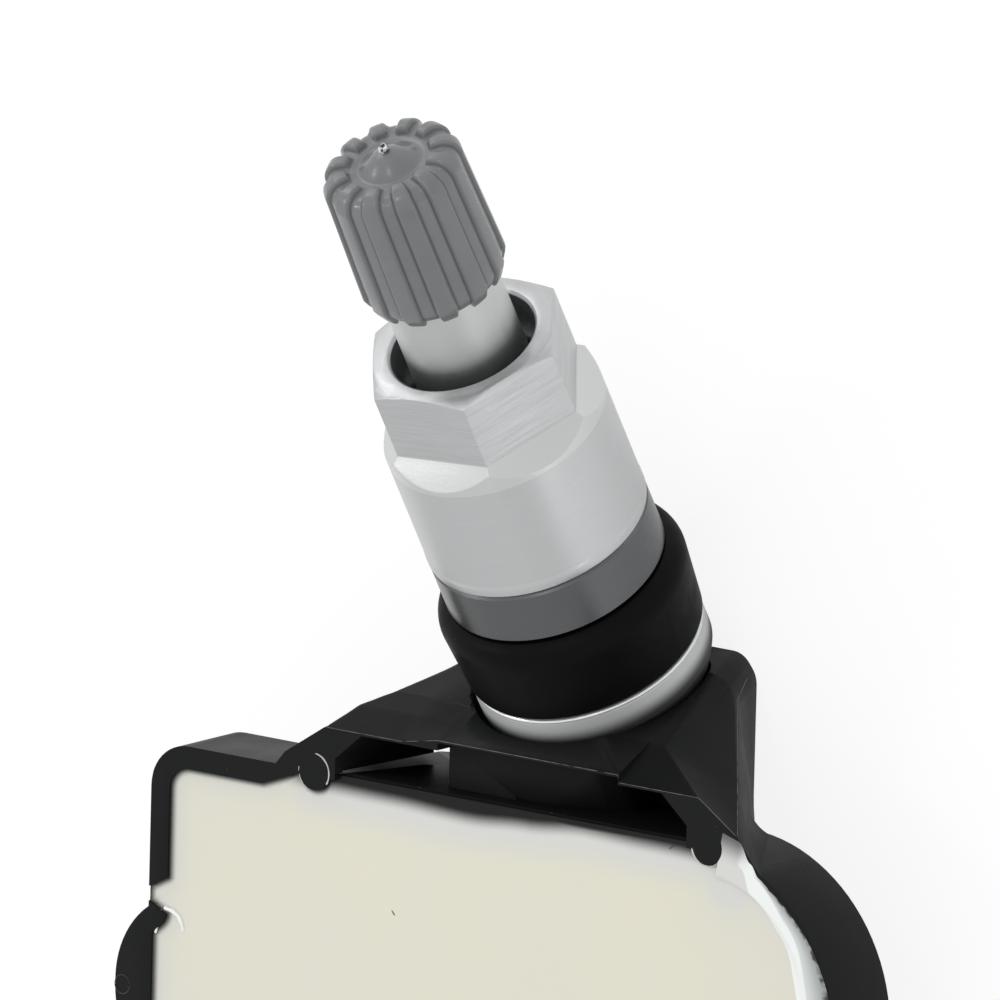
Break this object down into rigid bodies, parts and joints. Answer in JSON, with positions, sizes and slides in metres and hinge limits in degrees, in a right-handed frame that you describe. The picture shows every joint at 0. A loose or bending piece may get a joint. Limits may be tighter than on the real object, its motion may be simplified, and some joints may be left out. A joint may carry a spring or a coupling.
{
  "type": "tyre_pressure_sensor",
  "caption": "Tyre pressure sensor: potted black plastic tray on a slanted yoke with a clamp-in metal valve, rubber grommet, collar nut and ribbed screw cap.",
  "frame": {"origin": "on the flat back of the yoke, in the plane that holds the valve axis", "axes": "+X across the tray towards the battery end, +Y towards the valve, +Z out of the potted face"},
  "size_m": [0.0585, 0.0699, 0.0336],
  "materials": {
    "stem_metal": "satin turned",
    "nut_metal": "satin machined",
    "washer_metal": "dull satin",
    "grommet_rubber": "matt",
    "cap_plastic": "satin",
    "seal_rubber": "matt",
    "core_brass": "turned",
    "spring_steel": "drawn",
    "screw_steel": "plated",
    "housing_plastic": "fine moulded satin",
    "potting_resin": "smooth cast resin",
    "board_laminate": "solder mask",
    "cell_steel": "plated",
    "tab_steel": "plated",
    "chip_plastic": "moulded",
    "coil_ferrite": "sintered",
    "coil_copper": "copper",
    "capacitor_ceramic": "fired"
  },
  "bodies": {
    "sensor": {"valve_stem": "stem_metal", "grommet": "grommet_rubber", "core_plug": "core_brass", "core_barrel": "core_brass", "core_seal": "seal_rubber", "core_spring": "spring_steel", "retaining_screw": "screw_steel", "housing": "housing_plastic", "potting": "potting_resin", "circuit_board": "board_laminate", "battery_cell": "cell_steel", "battery_tab_top": "tab_steel", "battery_tab_bottom": "tab_steel", "sensor_chip": "chip_plastic", "port_gasket": "seal_rubber", "coil_core": "coil_ferrite", "coil_winding": "coil_copper", "crystal": "tab_steel", "chip_capacitors": "capacitor_ceramic", "antenna_loop": "coil_copper"},
    "washer": {"clamp_washer": "washer_metal"},
    "nut": {"collar_nut": "nut_metal"},
    "seal": {"cap_seal": "seal_rubber"},
    "cap": {"valve_cap": "cap_plastic"},
    "core_pin": {"core_pin": "core_brass", "core_cup": "core_brass"}
  },
  "joints": [
    {"name": "nut_lift", "type": "slide", "parent": "sensor", "child": "washer", "axis": [0, 0.8453, 0.5344], "range_m": [0, 0.004]},
    {"name": "nut_turn", "type": "hinge", "parent": "washer", "child": "nut", "pos_m": [0, 0.0035, 0.0081], "axis": [0, 0.8453, 0.5344], "range_deg": [0, 1441]},
    {"name": "cap_lift", "type": "slide", "parent": "sensor", "child": "seal", "axis": [0, 0.8453, 0.5344], "range_m": [0, 0.00556]},
    {"name": "cap_turn", "type": "hinge", "parent": "seal", "child": "cap", "pos_m": [0, 0.0035, 0.0081], "axis": [0, 0.8453, 0.5344], "range_deg": [0, 2521]},
    {"name": "core_press", "type": "slide", "parent": "sensor", "child": "core_pin", "axis": [0, -0.8453, -0.5344], "range_m": [0, 0.001], "stiffness_N_per_m": 800, "springref_m": -0.0015, "deforming": ["core_spring"]}
  ],
  "couplings": [
    {"joint": "nut_turn", "follows": "nut_lift", "rad_per_m": 6283.2},
    {"joint": "cap_turn", "follows": "cap_lift", "rad_per_m": 7913.3}
  ]
}
